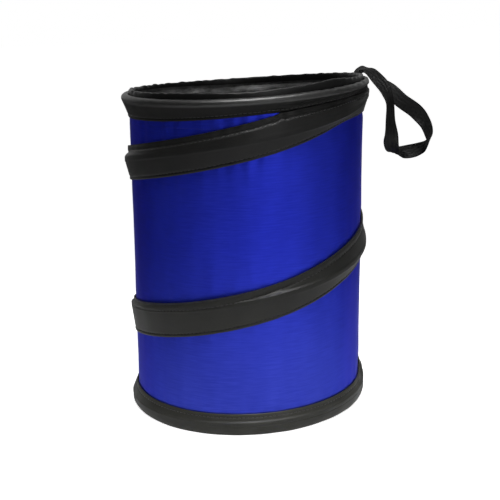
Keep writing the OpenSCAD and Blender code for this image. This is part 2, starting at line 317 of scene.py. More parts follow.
# Black polyester cloths, all plain woven: near black and matt, with a fine grain. The
# grain is drawn at 0.5 to 1 mm, because the weave's own 0.3 mm is too fine to show.
blackCloths = {
    # tape calendered flat, painted paler near the ground, up to a set height in metres:
    # painted light, for the white floor's bounce on it
    "polyesterTape": {
        "dark": "#0f0f0f", "light": "#181817", "roughness": 0.44, "specular": 0.14,
        "sheen": 0.02, "grainMm": 0.9, "paintedBounce": ("#232320", "#31312d"), "paintedBounceTop": 0.16},
    # the same tape round the rim, a little darker: painted shade, for the skirt under its
    # roll; and its roll polished by hands, which gives a bright line there: where the polish
    # starts and ends across it in metres, and the specular level that it reaches
    "handledRimTape": {
        "dark": "#0c0c0c", "light": "#141413", "roughness": 0.45, "specular": 0.08,
        "sheen": 0.0, "grainMm": 0.9, "polish": (0.0118, 0.0145, 0.54)},
    # hem cloth: the tapes' cloth, a little smoother, and darker: painted shade, for the groove
    # between the roll and the lining
    "foldedHemCloth": {
        "dark": "#060606", "light": "#0e0e0e", "roughness": 0.40, "specular": 0.18,
        "sheen": 0.0, "grainMm": 0.8},
    # polypropylene board in black cloth, under the lining
    "clothCoveredBoard": {
        "dark": "#161616", "light": "#222222", "roughness": 0.6, "specular": 0.3,
        "sheen": 0.0, "grainMm": 1.0},
    # bonded polyester thread: smooth, so single stitches glint
    "polyesterThread": {
        "dark": "#0d0d0d", "light": "#1a1a1a", "roughness": 0.35, "specular": 0.5,
        "sheen": 0.0, "grainMm": 0.5},
}


def makeBlackCloth(name):
    cloth = blackCloths[name]
    material, tree = newMaterial(name)
    uv = addNode(tree, "ShaderNodeTexCoord").outputs["UV"]
    fine = addNode(tree, "ShaderNodeMapping", links={"Vector": uv},
                   Scale=(1000 / cloth["grainMm"],) * 3)
    grain = addNode(tree, "ShaderNodeTexNoise", links={"Vector": fine.outputs[0]},
                    Scale=1.0, Detail=3.0, Roughness=0.65)
    broad = addNode(tree, "ShaderNodeTexNoise", links={"Vector": uv},
                    Scale=45.0, Detail=3.0, Roughness=0.55)
    tone = addNode(tree, "ShaderNodeMix", {"data_type": "FLOAT"},
                   {2: grain.outputs["Fac"], 3: broad.outputs["Fac"]}, Factor=0.5)
    plainColour = addNode(tree, "ShaderNodeValToRGB", links={"Fac": tone.outputs[0]},
                    stops=[(0.32, cloth["dark"]), (0.68, cloth["light"])])
    colour = plainColour.outputs[0]
    # paler near the ground: painted light, the floor's bounce
    if "paintedBounce" in cloth:
        paintedBounce = addNode(tree, "ShaderNodeValToRGB", links={"Fac": tone.outputs[0]},
                        stops=list(zip((0.32, 0.68), cloth["paintedBounce"])))
        colour = withPaintedBounce(tree, plainColour, paintedBounce, cloth["paintedBounceTop"], 1.0)
    bump = addNode(tree, "ShaderNodeBump", links={"Height": grain.outputs["Fac"]},
                   Strength=0.25, Distance=0.0002)
    shader = addNode(tree, "ShaderNodeBsdfPrincipled",
                     links={"Base Color": colour, "Normal": bump.outputs[0]},
                     Roughness=cloth["roughness"], IOR=1.5, Sheen_Weight=cloth["sheen"],
                     Sheen_Roughness=0.4, Specular_IOR_Level=cloth["specular"])
    if "polish" in cloth:
        start, end, level = cloth["polish"]
        across = addNode(tree, "ShaderNodeSeparateXYZ", links={0: uv})
        shine = addNode(tree, "ShaderNodeMapRange", {"interpolation_type": "SMOOTHSTEP"},
                        {"Value": across.outputs["Y"]}, From_Min=start, From_Max=end,
                        To_Min=cloth["specular"], To_Max=level)
        tree.links.new(shine.outputs[0], shader.inputs["Specular IOR Level"])
    addNode(tree, "ShaderNodeOutputMaterial", links={"Surface": shader.outputs[0]})
    return material


# Polyurethane-coated nylon lining: thin and crackly, so every fold catches light
coating = {"dark": "#2a2a2a", "light": "#646464", "roughness": 0.55, "specular": 0.3,
           "crinkleMm": 8}


def makeLining():
    material, tree = newMaterial("coatedNylonLining")
    uv = addNode(tree, "ShaderNodeTexCoord").outputs["UV"]
    scaled = addNode(tree, "ShaderNodeMapping", links={"Vector": uv},
                     Scale=(1000 / coating["crinkleMm"],) * 3)
    folds = addNode(tree, "ShaderNodeTexNoise", {"noise_type": "RIDGED_MULTIFRACTAL"},
                    {"Vector": scaled.outputs[0]}, Scale=1.0, Detail=4.0, Roughness=0.5)
    tone = addNode(tree, "ShaderNodeTexNoise", links={"Vector": uv},
                   Scale=75.0, Detail=4.0, Roughness=0.65)
    colour = addNode(tree, "ShaderNodeValToRGB", links={"Fac": tone.outputs["Fac"]},
                     stops=[(0.34, coating["dark"]), (0.68, coating["light"])])
    bump = addNode(tree, "ShaderNodeBump", links={"Height": folds.outputs[0]},
                   Strength=0.5, Distance=0.001)
    shader = addNode(tree, "ShaderNodeBsdfPrincipled",
                     links={"Base Color": colour.outputs[0], "Normal": bump.outputs[0]},
                     Roughness=coating["roughness"], IOR=1.5,
                     Specular_IOR_Level=coating["specular"])
    addNode(tree, "ShaderNodeOutputMaterial", links={"Surface": shader.outputs[0]})
    return material


# Polypropylene webbing: flat slanting picks of glossy yarn, almost black
webbing = {"dark": "#020202", "light": "#0b0b0b", "roughness": 0.5, "specular": 0.16,
           "pickMm": 1.4}


def makeWebbing():
    material, tree = newMaterial("ribbedWebbing")
    uv = addNode(tree, "ShaderNodeTexCoord").outputs["UV"]
    scaled = addNode(tree, "ShaderNodeMapping", links={"Vector": uv},
                     Scale=(1000 / webbing["pickMm"],) * 3)
    picks = addNode(tree, "ShaderNodeTexWave",
                    {"wave_type": "BANDS", "bands_direction": "DIAGONAL"},
                    {"Vector": scaled.outputs[0]}, Scale=0.7, Distortion=1.5, Detail=2.0)
    tone = addNode(tree, "ShaderNodeTexNoise", links={"Vector": scaled.outputs[0]},
                   Scale=0.6, Detail=3.0)
    colour = addNode(tree, "ShaderNodeValToRGB", links={"Fac": tone.outputs["Fac"]},
                     stops=[(0.3, webbing["dark"]), (0.75, webbing["light"])])
    bump = addNode(tree, "ShaderNodeBump", links={"Height": picks.outputs["Fac"]},
                   Strength=0.5, Distance=0.0003)
    shader = addNode(tree, "ShaderNodeBsdfPrincipled",
                     links={"Base Color": colour.outputs[0], "Normal": bump.outputs[0]},
                     Roughness=webbing["roughness"], IOR=1.49,
                     Specular_IOR_Level=webbing["specular"])
    addNode(tree, "ShaderNodeOutputMaterial", links={"Surface": shader.outputs[0]})
    return material


# Drawn spring steel, oiled: bright with faint lines along the wire
steel = {"dark": "#7f8387", "light": "#a9adb0", "roughness": 0.32, "linesPerMetre": 900.0}


def makeSteel():
    material, tree = newMaterial("drawnSpringSteel")
    spot = addNode(tree, "ShaderNodeTexCoord").outputs["Object"]
    lines = addNode(tree, "ShaderNodeTexNoise", links={"Vector": spot},
                    Scale=steel["linesPerMetre"], Detail=2.0)
    colour = addNode(tree, "ShaderNodeValToRGB", links={"Fac": lines.outputs["Fac"]},
                     stops=[(0.0, steel["dark"]), (1.0, steel["light"])])
    shader = addNode(tree, "ShaderNodeBsdfPrincipled", links={"Base Color": colour.outputs[0]},
                     Roughness=steel["roughness"], Metallic=1.0)
    addNode(tree, "ShaderNodeOutputMaterial", links={"Surface": shader.outputs[0]})
    return material


satinMaterial = makeSatin()
tapeMaterial = makeBlackCloth("polyesterTape")
rimMaterial = makeBlackCloth("handledRimTape")
hemMaterial = makeBlackCloth("foldedHemCloth")
panelMaterial = makeBlackCloth("clothCoveredBoard")
threadMaterial = makeBlackCloth("polyesterThread")
liningMaterial = makeLining()
webbingMaterial = makeWebbing()
steelMaterial = makeSteel()
print("materials made")


def dress(piece, material, body, nodes):
    # material, slot and body of a piece, and the nodes that it stands for
    piece.data.materials.append(material)
    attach(piece, body)
    if nodes:
        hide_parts(*nodes)
    return piece


# Stitches: short runs of thread, sunk a little into the cloth
stitch = {"long": 2.4, "step": 3.1, "thick": 0.28, "proud": 0.02}


def makeStitches(name, t, r, z, body):
    # one capsule to each point (r, t, z) of the cloth: rings of 6 points along the
    # line's own direction, swelling to the middle and flattened against the cloth
    r = r + stitch["proud"]
    centre = at(r, t, z)
    ahead = at(r, t + 0.0005, np.interp(t + 0.0005, t, z))
    step = ahead - centre
    step[-1] = step[-2]
    step /= np.linalg.norm(step, axis=1)[:, None]
    out = np.stack([np.cos(tau * t), np.sin(tau * t), 0 * t], -1)
    side = np.cross(step, out)
    s = np.array([-1, -0.8, 0, 0.8, 1])
    swell = np.array([0.3, 0.8, 1, 0.8, 0.3]) * stitch["thick"]
    a = np.arange(6) / 6 * tau
    run = (step[:, None, None] * (s * stitch["long"] / 2)[None, :, None, None]
           + out[:, None, None] * (swell[:, None] * np.cos(a) * 0.8)[None, :, :, None]
           + side[:, None, None] * (swell[:, None] * np.sin(a))[None, :, :, None]) / 1000
    points = centre[:, None, None] + run
    count, rings, m = points.shape[:3]
    base = np.arange(count)[:, None, None] * rings * m
    k = np.arange(rings - 1)[None, :, None] * m
    j = np.arange(m)[None, None, :]
    quads = np.stack([base + k + j, base + k + m + j, base + k + m + (j + 1) % m,
                      base + k + (j + 1) % m], -1).reshape(-1, 4).tolist()
    first = (base[:, 0] + np.arange(m)[None, :]).tolist()
    last = (base[:, 0] + (rings - 1) * m + np.arange(m)[None, ::-1]).tolist()
    piece = addPiece(name, points, quads + first + last, 80)
    uv = np.zeros(len(piece.data.loops) * 2)
    piece.data.uv_layers.new(name="UVMap").data.foreach_set("uv", uv)
    return dress(piece, threadMaterial, body, [])


# Outer shell, in a lower piece on the base and an upper one on the rim
shell = {"round": 420, "thick": 0.25, "bandWave": 0.10, "pucker": 0.42,
         "seamAt": 0.9925, "seamProud": 0.8}


def seamGaps(t, z):
    # signed height from each tape edge into the bare cloth, smallest one kept
    gap = np.minimum(z - sizes["baseTape"], rimTapeZ(t) - z)
    for turn in (-1, 0, 1, 2):
        low, high = coilEdges(t + turn)
        live = (t + turn > -0.06) & (t + turn < sizes["turns"] + 0.18)
        gap = np.where(live, np.minimum(gap, np.maximum(low - z, z - high)), gap)
    return gap


def makeShell():
    # tube r(t, z): soft upright bands, short puckers that fade away from each
    # tape's edge, deeper in front on the left under the rim, and a joined seam up
    # the strap's side
    t = np.arange(shell["round"] + 1) / shell["round"]
    tt = t[:, None]
    phi = tau * tt
    along = tau * sizes["shellRadius"] * t / 1000
    for name, count, foot, top, body, flat, held in (
            ("satinShell", 158, 1.2, cut + 0 * tt, "base", 0.213, "springWireCoil"),
            ("satinShellTop", 14, cut + 0.05, rimZ(tt) - 3, "rim", 0.014, "rimTape")):
        z = foot + (top - foot) * np.linspace(0, 1, count)[None, :]
        gap = seamGaps(tt, z)
        free = smoothStep(0, 7, gap)
        bands = waves(4, 7, 3, 15, phi, z, 0.0006)
        near = np.exp(-np.maximum(gap, 0) / 9) * (gap > -1)
        pucker = waves(9, 9, 22, 54, phi, z, 0.004) * (0.6 + 0.4 * waves(2, 4, 2, 7, phi))
        pucker = pucker * (1 + 1.3 * hump(tt, 0.64, 0.06) * smoothStep(188, 202, z))
        ripple = waves(17, 10, 9, 30, phi, z, 0.012)
        r = (sizes["shellRadius"] - 0.1 - 0.3 * smoothStep(0, 30, gap)
             + shell["bandWave"] * bands * free
             + shell["pucker"] * 0.5 * (pucker - 0.5) * near + 0.03 * ripple * free)
        side = (tt - shell["seamAt"] + 0.5) % 1 - 0.5
        r = (r + shell["seamProud"] * hump(side, 0, 0.0028) * free
             - 0.25 * hump(side, -0.008, 0.003))
        r = np.clip(r, sizes["shellRadius"] - 0.62,
                    sizes["shellRadius"] + np.where(gap > 0, 1.2, 0.15))
        grid, across = thinSection(r, z, shell["thick"], t)
        piece = skin(name, grid[:-1], along, across + foot / 1000, True)
        dress(piece, satinMaterial, body, ["outer_shell"])
        if body == "base":
            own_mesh(piece)


# Inner lining, in two pieces as the shell is
lining = {"round": 420, "thick": 0.2, "fold": 1.7}


def makeInnerLining():
    # tube r(t, z) that only ever folds inwards, least at its sewn top and foot
    t = np.arange(lining["round"] + 1) / lining["round"]
    tt = t[:, None]
    phi = tau * tt
    along = tau * sizes["liningRadius"] * t / 1000
    edge = hemZ(tt) - 1.3
    for name, count, foot, top, body, flat, held in (
            ("crinkledLining", 137, 2.6, cut + 0 * tt, "base", 0.212, "crinkledLiningTop"),
            ("crinkledLiningTop", 15, cut + 0.05, edge, "rim", 0.021, "hemBinding")):
        z = foot + (top - foot) * np.linspace(0, 1, count)[None, :]
        ends = smoothStep(2.6, 14, z) * (1 - 0.9 * smoothStep(edge - 8.8, edge - 4.7, z))
        folds = (0.55 * creases(31, 8, 5, 17, phi, z, 0.02)
                 + 0.5 * creases(35, 9, 12, 40, phi, z, 0.05)
                 + 0.35 * waves(33, 8, 3, 20, phi, z, 0.03))
        depth = 0.35 + lining["fold"] * np.clip(folds + 1.1, 0, 3)
        r = sizes["liningRadius"] - 0.1 - ends * depth
        grid, across = thinSection(r, z, lining["thick"], t)
        piece = skin(name, grid[:-1], along, across + foot / 1000, True, 70)
        dress(piece, liningMaterial, body, ["inner_lining"])
        if body == "base":
            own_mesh(piece)


# Tape over the coil: its seams are strip mm under its upper edge and seam mm over its
# lower one, which turn in to gap mm off the shell and by tuck mm. Lengths round it
# are at uvRadius, in metres.
coilTape = {
    "steps": 900, "from": -0.025, "to": 2.18, "thick": 0.5, "strip": 4.8, "seam": 2.4,
    "proud": 0.9, "below": 1.3, "tuck": 0.4, "gap": 0.25, "uvRadius": 0.0873, "keep": 0.02,
}


def drawnIn(t):
    # how much closer to the shell the coil lies on the left, where it is drawn tight
    return 1.2 * hump(t, 0.48, 0.11)


def coilFace(t, z):
    # radius of the tape's outer face: out from the lower edge to the wire's ridge,
    # in to the strip along the top, with rolled edges, seam grooves and wrinkles
    low, high = coilEdges(t)
    width = high - low
    scale = np.clip(width / sizes["tapeWidth"], 0.1, 1)
    wire = wireZ(t) - coilTape["below"] * smoothStep(0.05, 0.2, t)
    mid = np.clip(wire, low + 1.2 * scale, high - 1.2 * scale)
    ridge = stand * lift(wire - mid)
    seam = np.maximum(high - coilTape["strip"] * scale, mid + 1.2 * scale)
    endLow = stand * lift(wire - low)
    endTop = np.maximum(coilTape["proud"] * smoothStep(3, 18, width),
                        stand * lift(wire - high, 6.0, 10.5) * smoothStep(0.50, 0.62, t))
    lower = endLow + (ridge - endLow) * (z - low) / np.maximum(mid - low, 0.6)
    # on the second turn the face stays nearly as far out as the ridge
    full = 0.82 * stand * smoothStep(1.46, 1.62, t) * smoothStep(8, 20, width)
    flat = np.maximum(endTop, full)
    upper = flat + (ridge - flat) * (seam - z) / np.maximum(seam - mid, 0.6)
    h = softMin(lower, np.maximum(upper, flat * (z > mid)), 0.5)
    h = np.where(z < seam, h, flat + (endTop - flat) * smoothStep(0, 1.1, z - seam))
    # the cloth lies over the wire, wherever that is
    h = np.clip(np.maximum(h, stand * lift(wire - z, 0.6, 2.6) * (ridge > 0.5)), 0.0, stand)
    soften = smoothStep(1.3, 1.5, t)
    h = np.maximum(h, stand * lift(wireZ(t) - z, 1.0, 2.8 + 3.2 * soften))
    snug = -drawnIn(t) * h / stand
    wide = smoothStep(8, 22, width)
    groove = (-0.34 * hump(z, low + coilTape["seam"] * scale, 0.45)
              + 0.30 * hump(z, low + 0.9 * scale, 0.7))
    phi = tau * t + z * 0
    firm = 0.45 + 0.55 * smoothStep(1.55, 1.72, t)
    top = firm * (-0.6 * hump(z, high - coilTape["strip"] * scale, 0.5)
                  + 0.4 * hump(z, high - 2.2 * scale, 1.2))
    rough = smoothStep(1.66, 1.74, t) * (1 - smoothStep(1.86, 1.92, t))
    ruffle = (0.04 + 0.13 * rough) * waves(41, 9, 20, 64, phi, z, 0.02)
    ruffle = ruffle * smoothStep(-0.4, 0.6, z - seam)
    soft = 0.08 * waves(43, 8, 6, 30, phi, z, 0.01) * (z < seam)
    wrinkles = (groove + top + ruffle + soft) * wide
    return sizes["seatRadius"] + coilTape["thick"] + h + snug + wrinkles


def makeCoilTape():
    # coilFace over a strip whose rows lie closer together at its edges and seams
    t = np.linspace(coilTape["from"], coilTape["to"], coilTape["steps"])
    tt = t[:, None]
    low, high = coilEdges(tt)
    edge = np.array([0, 0.02, 0.25, 0.6, 1.0, 1.5, 2.0, 2.4, 2.8, 3.4]) / sizes["tapeWidth"]
    top = np.array([5.7, 5.2, 4.8, 4.4, 3.9, 3.3, 2.7, 2.1, 1.5, 1.0, 0.5, 0.15, 0.02, 0])
    s = np.concatenate([edge, np.linspace(0.165, 0.75, 24), 1 - top / sizes["tapeWidth"]])
    z = low + (high - low) * s[None, :]
    r = coilFace(tt, z)
    # the two edges turn in to the shell
    r[:, 0] -= coilTape["tuck"]
    r[:, -1] = sizes["seatRadius"] + coilTape["gap"]
    grid, across = thinSection(r, z, coilTape["thick"], t, coilTape["steps"] // 2)
    along = np.concatenate([t, t[-1:]]) * tau * coilTape["uvRadius"]
    piece = skin("coilTape", grid, along, across, False)
    dress(piece, tapeMaterial, "base", ["coil_tape"])
    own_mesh(piece)
    run = np.linspace(0.12, 2.02, int(1.92 * tau * 87 / stitch["step"]))
    low, high = coilEdges(run)
    scale = np.clip((high - low) / sizes["tapeWidth"], 0.1, 1)
    for name, z in (("coilTapeLowerStitches", low + coilTape["seam"] * scale),
                    ("coilTapeUpperStitches", high - coilTape["strip"] * scale)):
        threads = makeStitches(name, run, coilFace(run, z), z, "base")
        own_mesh(threads)


# Tape round the base ring: its foot under the ring is given as (radius, height)
baseTape = {
    "steps": 480, "thick": 0.5, "seam": 2.4, "gap": 0.25, "ringHigh": 6.8, "uvRadius": 0.0886,
    "foot": [(83.2, 0.0), (85.2, 0.0), (86.4, 0.15), (87.4, 1.0), (88.1, 2.4), (88.4, 3.9)],
}


def baseBump(t):
    # how far the tape stands out over the lower ferrule
    return 0.3 * hump(t, -0.14, 0.03)


def baseFace(t, z):
    # radius of its outer face above the ring: a rounded ridge, a straight slope in
    # to the shell, a rolled edge and a stitched groove
    top, ringHigh = sizes["baseTape"], baseTape["ringHigh"]
    line = stand * np.clip(1 - (z - ringHigh) / (top - ringHigh), 0, 1) ** 0.95
    h = np.maximum(line, stand * lift(wireZ(t) - z, 0.8, 3.2))
    groove = (-0.24 * hump(z, top - baseTape["seam"], 0.42)
              + 0.14 * hump(z, top - 0.9, 0.7))
    soft = 0.09 * waves(51, 9, 5, 40, tau * t + z * 0, z, 0.02)
    return sizes["seatRadius"] + baseTape["thick"] + h + groove + soft + baseBump(t)


def makeBaseTape():
    # foot rows under the ring, then baseFace rows up to the edge
    t = np.arange(baseTape["steps"] + 1) / baseTape["steps"] - 0.5
    tt = t[:, None]
    z = 5.0 + (sizes["baseTape"] - 5.0) * np.linspace(0, 1, 34)[None, :]
    r = baseFace(tt, z)
    r[:, -1] = sizes["seatRadius"] + baseTape["gap"]
    footR, footZ = (column[None, :] + 0 * tt for column in np.array(baseTape["foot"]).T)
    footR = footR + baseBump(tt) * (footZ > 0.5)
    footR = footR + 0.10 * waves(53, 8, 6, 36, tau * tt) * (footZ > 0.1)
    grid, across = thinSection(np.concatenate([footR, r], 1),
                               np.concatenate([footZ, z + 0 * r], 1), baseTape["thick"], t)
    grid[..., 2] = np.maximum(grid[..., 2], 0.0)
    piece = skin("baseTape", grid[:-1], t * tau * baseTape["uvRadius"], across, True)
    dress(piece, tapeMaterial, "base", ["base_tape"])
    run = np.linspace(-0.5, 0.498, int(tau * 86 / stitch["step"]))
    high = np.full_like(run, sizes["baseTape"] - baseTape["seam"])
    makeStitches("baseTapeStitches", run, baseFace(run, high), high, "base")


# Tape round the rim ring: a skirt from its root radius on the shell to its out radius
# under the roll, whose middle line is at rollAt, rollDrop mm below the ring
rimTape = {
    "steps": 720, "thick": 0.5, "seam": 2.3, "tuck": 0.45, "root": 84.45, "out": 89.3,
    "skirtTop": 2.2, "overCoil": 3.3, "rollAt": 86.1, "rollDrop": 1.0, "roll": 3.3,
    "rollHigh": 2.6, "uvRadius": 0.0885,
}


def rimPinch(t):
    # how much closer to the ring the tape lies at the strap's side
    return 1.2 * hump((t + 0.5) % 1, 0.5, 0.08)


def rimSkirt(t):
    # the skirt's lower edge, its top and how much of its full height that is
    low, top = rimTapeZ(t), rimZ(t) - rimTape["skirtTop"]
    return low, top, np.clip((top - low) / 9, 0.4, 1)


def rimFace(t, z):
    # radius of its skirt: nearly straight from the lower edge out to the roll, over
    # the coil's wire where that comes up under it, with a fold in front on the right
    # and small creases there
    low, top, scale = rimSkirt(t)
    s = np.clip((z - low) / (top - low), 0, 1)
    h = np.maximum((rimTape["out"] - rimPinch(t) - rimTape["root"]) * s ** 1.15,
                   rimTape["overCoil"] * lift(wireZ(t) - z, 0.9, 3.5))
    groove = (-0.3 * hump(z, low + rimTape["seam"] * scale, 0.42)
              + 0.25 * hump(z, low + 0.9 * scale, 0.6))
    soft = 0.08 * waves(61, 9, 5, 34, tau * t + z * 0, z, 0.02) * s
    near = hump((t + 0.5) % 1, 0.41, 0.05)
    u = t % 1
    fold = smoothStep(0.78, 0.82, u) * (1 - smoothStep(0.96, 1.0, u))
    fold = fold * (0.5 * hump(z, low + 1.6, 1.1) - 0.8 * hump(z, low + 4.1, 0.7))
    crumple = 0.25 * near * waves(65, 10, 20, 60, tau * t + z * 0, z, 0.06) * s
    return rimTape["root"] + h + groove + soft + crumple + fold


def makeRimTape():
    # skirt rows, then a roll of cloth round the ring: an arc from just under level
    # on the outside, over the top and down to the hem, with a bump over the upper
    # ferrule
    t = np.arange(rimTape["steps"] + 1) / rimTape["steps"] + 1.5
    tt = t[:, None]
    low, top = rimSkirt(tt)[:2]
    s = np.concatenate([[0, 0.004, 0.02, 0.05, 0.09, 0.13, 0.17, 0.21, 0.26],
                        np.linspace(0.32, 0.98, 15)])[None, :]
    z = low + (top - low) * s
    r = rimFace(tt, z)
    r[:, 0] -= rimTape["tuck"]
    a = np.radians(np.arange(-12, 121, 12))[None, :]
    up = smoothStep(-0.2, 1.2, a)
    right = hump((tt + 0.5) % 1, 0.43, 0.07)
    fold = ((0.06 + 0.32 * right) * waves(63, 10, 34, 85, tau * tt)
            + 0.05 * waves(67, 9, 9, 30, tau * tt))
    bump = 0.6 * hump(tt, 2.09, 0.022)
    roll = rimTape["roll"] - rimPinch(tt)
    rollR = rimTape["rollAt"] + roll * np.cos(a) + 0.3 * fold * up + bump * (1 - up)
    rollZ = (rimZ(tt) - rimTape["rollDrop"] + rimTape["rollHigh"] * np.sin(a)
             + (0.7 * fold + bump) * up)
    grid, across = thinSection(np.concatenate([r, rollR], 1),
                               np.concatenate([z + 0 * r, rollZ], 1), rimTape["thick"], t)
    piece = skin("rimTape", grid[:-1], t * tau * rimTape["uvRadius"], across, True)
    dress(piece, rimMaterial, "rim", ["rim_tape"])
    run = np.linspace(1.5, 2.498, int(tau * 86 / stitch["step"]))
    low, top, scale = rimSkirt(run)
    line = low + rimTape["seam"] * scale
    makeStitches("rimTapeStitches", run, rimFace(run, line), line, "rim")


# Hem over the lining's top edge: its section, from the inner leg's foot round, as
# (radius, what the height is counted from, height)
hem = {"steps": 900, "gather": 0.42, "crumple": 0.30, "uvRadius": 0.083}
hemSection = [
    (81.9, "top", -4.6), (82.0, "top", -3.0), (82.1, "top", -1.5), (82.5, "top", -0.75),
    (83.1, "top", -0.7), (83.3, "top", -1.6), (83.25, "ring", -2.6), (83.8, "ring", -2.6),
    (83.95, "ring", -1.4), (83.95, "top", -2.4), (83.95, "top", -1.2), (83.8, "top", -0.35),
    (83.3, "top", 0.0), (82.5, "top", 0.05), (81.8, "top", -0.1), (81.4, "top", -0.5),
    (81.3, "top", -1.6), (81.3, "top", -2.8), (81.3, "top", -3.8), (81.35, "top", -4.6),
]


def makeHem():
    # hemSection carried round the rim, with gathers that grow towards its top and the
    # strap, and an inner leg that is shorter at the back on the left
    t = np.arange(hem["steps"] + 1) / hem["steps"]
    tt = t[:, None]
    phi = tau * tt
    levels = {"top": hemZ(tt), "ring": rimZ(tt)}
    gather = waves(71, 12, 26, 75, phi)
    loose = (0.3 + 0.4 * smoothStep(-0.2, 0.9, -np.cos(phi))
             + 0.5 * hump((tt + 0.5) % 1, 0.46, 0.06))
    short = 1 - 0.38 * hump(tt, 0.40, 0.09)
    r = np.concatenate([np.full_like(tt, radius) for radius, _, _ in hemSection], 1)
    z = np.concatenate([levels[level] + height * (short if height < -2.9 else 1)
                        for _, level, height in hemSection], 1)
    high = smoothStep(-2.5, 0.5, z - levels["top"])
    z = z + hem["gather"] * loose * gather * high
    crumple = hem["crumple"] * loose * waves(73, 12, 22, 70, phi + z * 0) * high
    r = np.clip(r + crumple, 81.0, 84.25)
    piece = skin("hemBinding", at(r, tt, z)[:-1], t * tau * hem["uvRadius"],
                 lengthsRound(r[0], z[0]), True, 60)
    dress(piece, hemMaterial, "rim", ["hem_binding"])


# Spring wire, in its three stretches
wire = {"sides": 10, "stepsPerTurn": 110}


def makeWire(name, start, end, body, squashed):
    # round section carried along r = wire radius, z = wireZ(t), a little closer to the
    # cloth where the coil is drawn tight
    t = np.linspace(start, end, int((end - start) * wire["stepsPerTurn"]))[:, None]
    a = (np.arange(wire["sides"]) / wire["sides"] * tau)[None, :]
    half = sizes["wireThick"] / 2
    radius = sizes["wireRadius"] - drawnIn(t)
    grid = at(radius + half * np.cos(a), t, wireZ(t) + half * np.sin(a))
    along = np.concatenate([t[:, 0], t[-1:, 0]]) * tau * sizes["wireRadius"] / 1000
    piece = skin(name, grid, along, np.arange(wire["sides"] + 1) * 0.0006, False, 80)
    dress(piece, steelMaterial, body, ["spring_wire"])
    if squashed:
        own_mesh(piece)


# Carry strap: each row is a point on its middle line, from the inner end and in
# shares of the drop, then the direction across it
strap = {"width": 11.0, "thick": 1.2, "at": 0.039, "drop": 58.0, "ribs": 4, "substeps": 9,
         "rib": 0.14, "inner": 84.8, "outer": 86.5}
strapLoop = np.array([
    [0.02, 0, 0.05, -0.2, 0.97, 0], [0.06, -0.02, 0.07, -0.1, 0.98, 0.1],
    [0.11, -0.05, 0.06, 0.1, 0.95, 0.2], [0.17, -0.1, 0.03, 0.4, 0.85, 0.4],
    [0.24, -0.18, -0.05, 0.6, 0.7, 0.5], [0.3, -0.25, -0.13, 0.7, 0.6, 0.4],
    [0.34, -0.32, -0.23, 0.7, 0.7, 0.1], [0.37, -0.36, -0.35, 0.6, 0.8, -0.1],
    [0.37, -0.37, -0.55, 0.7, 0.7, -0.2], [0.38, -0.37, -0.72, 0.9, 0.4, -0.2],
    [0.38, -0.35, -0.85, 1, -0.2, -0.1], [0.42, -0.29, -0.97, 0.75, -0.55, -0.15],
    [0.51, -0.21, -0.99, 0.2, -0.7, -0.6], [0.62, -0.17, -0.99, 0, -0.6, -0.8],
    [0.73, -0.16, -0.97, -0.2, -0.6, -0.8], [0.83, -0.19, -0.92, -0.3, -0.7, -0.7],
    [0.88, -0.25, -0.83, -0.4, -0.8, -0.4], [0.86, -0.29, -0.72, -0.7, -0.7, -0.1],
    [0.81, -0.29, -0.6, -0.9, -0.5, -0.1], [0.7, -0.27, -0.46, -0.8, -0.1, -0.6],
    [0.53, -0.22, -0.33, -0.7, -0.2, -0.7], [0.41, -0.14, -0.21, -0.7, -0.3, -0.6],
    [0.29, -0.05, -0.11, -0.5, -0.7, -0.4], [0.19, 0, -0.03, -0.2, -0.9, -0.2],
    [0.11, 0.01, 0.02, 0.1, -0.97, 0], [0.05, 0.01, 0.03, 0.24, -0.97, 0],
])


def strapRows():
    # rows straight above the seam, the loop, then rows above the outer end, turned over
    foot = rimZ(strap["at"]) + 2.2
    turn = tau * strap["at"]
    across = np.array([-math.sin(turn), math.cos(turn), 0])
    inner, outer = (at(strap[end], strap["at"], foot) * 1000 for end in ("inner", "outer"))
    first = [np.append(inner + [0, 0, strap["thick"] * up], across) for up in (0, 0.6, 1.2)]
    last = [np.append(outer + [0, 0, strap["thick"] * up], -across) for up in (0.7, 0)]
    loop = np.hstack([inner + strap["drop"] * strapLoop[:, :3], strapLoop[:, 3:]])
    return np.vstack([first, loop, last])


def throughPoints(rows, substeps):
    # Catmull-Rom curve through the rows, substeps points from each to the next
    padded = np.concatenate([rows[:1], rows, rows[-1:]])
    s = (np.arange(substeps) / substeps)[None, :, None]
    a, b, c, d = (padded[k:len(padded) - 3 + k, None, :] for k in range(4))
    curve = 0.5 * (2 * b + (c - a) * s + (2 * a - 5 * b + 4 * c - d) * s ** 2
                   + (3 * b - a - 3 * c + d) * s ** 3)
    return np.concatenate([curve.reshape(-1, rows.shape[1]), rows[-1:]])


def makeStrap():
    # flat section carried along the curve, thinner in shallow grooves between its
    # ribs and at its two selvedges
    curve = throughPoints(strapRows(), strap["substeps"])
    middle = curve[:, :3]
    tangent = np.gradient(middle, axis=0)
    tangent /= np.linalg.norm(tangent, axis=1)[:, None]
    side = curve[:, 3:] - (curve[:, 3:] * tangent).sum(1)[:, None] * tangent
    side /= np.linalg.norm(side, axis=1)[:, None]
    up = np.cross(tangent, side)
    w = np.linspace(-1, 1, 33)
    ribs = 0.5 + 0.5 * np.cos(tau * strap["ribs"] * (w + 1) / 2)
    selvedge = np.clip((1.02 - np.abs(w)) * 14, 0.35, 1)
    half = (strap["thick"] / 2 - strap["rib"] * ribs) * selvedge
    across = np.concatenate([-w, w]) * strap["width"] / 2
    rise = np.concatenate([-half, half])
    grid = (middle[:, None, :] + side[:, None, :] * across[None, :, None]
            + up[:, None, :] * rise[None, :, None]) / 1000
    steps = np.linalg.norm(np.diff(middle, axis=0), axis=1)
    along = np.concatenate([[0], np.cumsum(steps), [steps.sum()]]) / 1000
    across = np.concatenate([across, across[:1]]) / 1000
    piece = skin("carryStrap", grid, along, across, False, 60)
    dress(piece, webbingMaterial, "rim", ["carry_strap"])
    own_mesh(piece)
    print("strap length mm", round(float(steps.sum()), 1))


